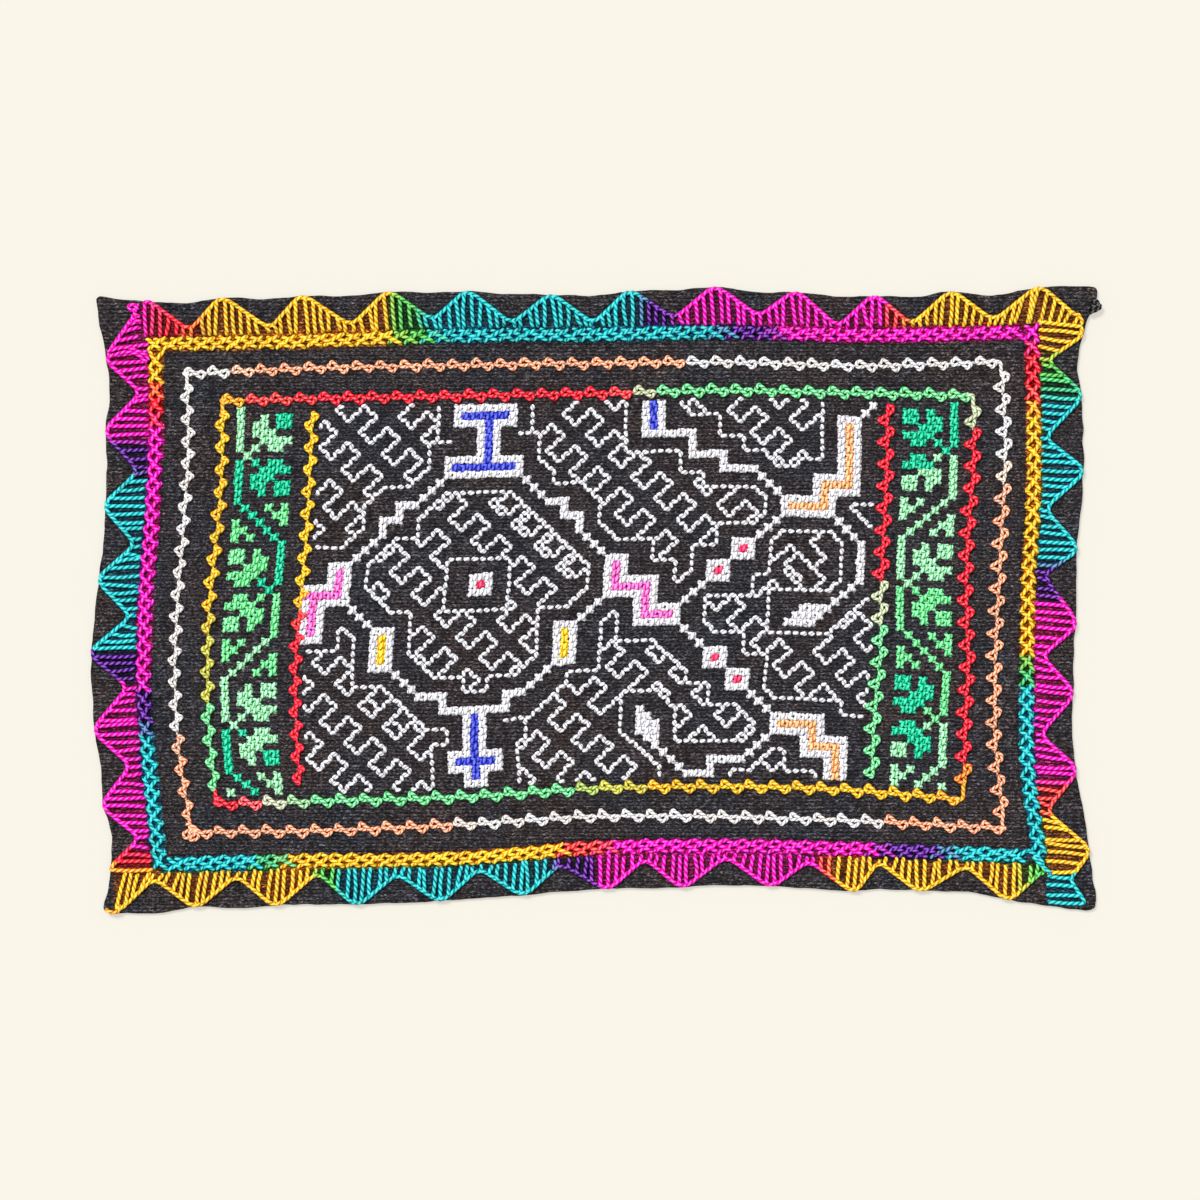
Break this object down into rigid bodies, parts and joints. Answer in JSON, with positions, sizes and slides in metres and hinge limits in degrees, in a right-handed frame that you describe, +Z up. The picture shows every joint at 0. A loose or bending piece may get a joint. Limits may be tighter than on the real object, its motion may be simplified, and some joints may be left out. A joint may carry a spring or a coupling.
{
  "type": "altar cloth",
  "caption": "Flat rectangular black cotton altar cloth with a scalloped stitched edging, herringbone and looped-chain borders and an embroidered centre panel.",
  "frame": {"origin": "on the surface that the cloth lies on, under the middle of its outline", "axes": "+X along the cloth's length, +Y across it towards the side with the peach line, +Z up out of its face"},
  "size_m": [0.3348, 0.209, 0.0026],
  "materials": {
    "cotton_black": "matt evenweave cotton, ribbed, with grey flecks",
    "thread_yellow": "twisted pearl cotton, soft sheen, yellow shading to orange",
    "thread_magenta": "twisted pearl cotton, soft sheen, magenta shading to purple and red",
    "thread_cyan": "twisted pearl cotton, soft sheen, cyan shading to green",
    "thread_orange": "twisted pearl cotton, soft sheen",
    "thread_peach": "fine twisted cotton, soft sheen",
    "thread_cream": "fine twisted cotton, soft sheen",
    "thread_red": "soft cotton yarn, slightly fuzzy",
    "thread_green": "soft cotton yarn, slightly fuzzy",
    "thread_white": "white cotton thread in fine back stitch and cross stitch",
    "thread_blue": "cotton thread in cross stitch",
    "thread_pink": "cotton thread in cross stitch"
  },
  "bodies": {
    "root": {"cloth": "cotton_black", "edging_top": "thread_yellow", "edging_right": "thread_magenta", "edging_bottom": "thread_yellow", "edging_left": "thread_magenta", "herringbone_top": "thread_cyan", "herringbone_right": "thread_orange", "herringbone_bottom": "thread_yellow", "herringbone_left": "thread_magenta", "chain_outer_top": "thread_peach", "chain_outer_right": "thread_peach", "chain_outer_bottom": "thread_cream", "chain_outer_left": "thread_cream", "chain_inner_top": "thread_red", "chain_inner_right": "thread_red", "chain_inner_bottom": "thread_green", "chain_inner_left": "thread_yellow", "divider_left": "thread_yellow", "divider_right": "thread_red"}
  },
  "joints": []
}
